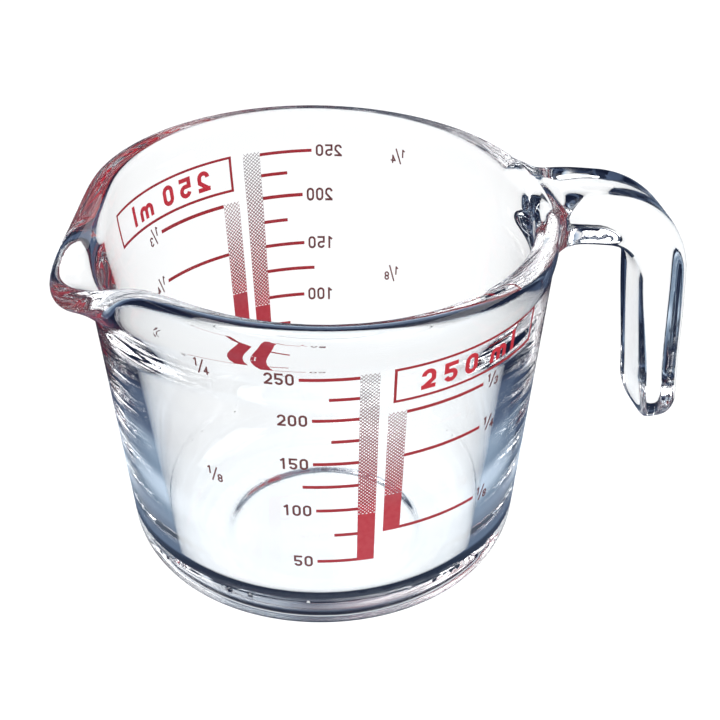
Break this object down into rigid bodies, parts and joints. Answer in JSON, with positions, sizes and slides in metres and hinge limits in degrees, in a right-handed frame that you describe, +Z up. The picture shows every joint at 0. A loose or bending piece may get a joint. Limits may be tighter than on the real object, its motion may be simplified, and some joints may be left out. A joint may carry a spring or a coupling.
{
  "type": "measuring jug",
  "caption": "Small clear glass measuring jug with a pouring lip, an open hook handle and a red litre and pint scale on both sides.",
  "frame": {"origin": "on the table, at the centre of the ring that the jug stands on", "axes": "+Z up along the bowl's axis, -X towards the pouring lip, +X towards the handle, -Y towards the front scale"},
  "size_m": [0.1294, 0.0954, 0.0787],
  "materials": {
    "glass": "clear pressed glass, polished by fire",
    "red_enamel": "fired red enamel, satin",
    "brown_enamel": "fired red-brown enamel, satin"
  },
  "bodies": {
    "root": {"bowl": "glass", "handle": "glass", "front_litre_bar": "red_enamel", "front_litre_ticks": "red_enamel", "front_litre_numbers": "brown_enamel", "front_litre_fractions": "brown_enamel", "front_pint_bar": "red_enamel", "front_pint_ticks": "red_enamel", "front_pint_fractions": "brown_enamel", "front_label_frame": "red_enamel", "front_label_figures": "red_enamel", "back_litre_bar": "red_enamel", "back_litre_ticks": "red_enamel", "back_litre_numbers": "brown_enamel", "back_litre_fractions": "brown_enamel", "back_pint_bar": "red_enamel", "back_pint_ticks": "red_enamel", "back_pint_fractions": "brown_enamel", "back_label_frame": "red_enamel", "back_label_figures": "red_enamel"}
  },
  "joints": []
}
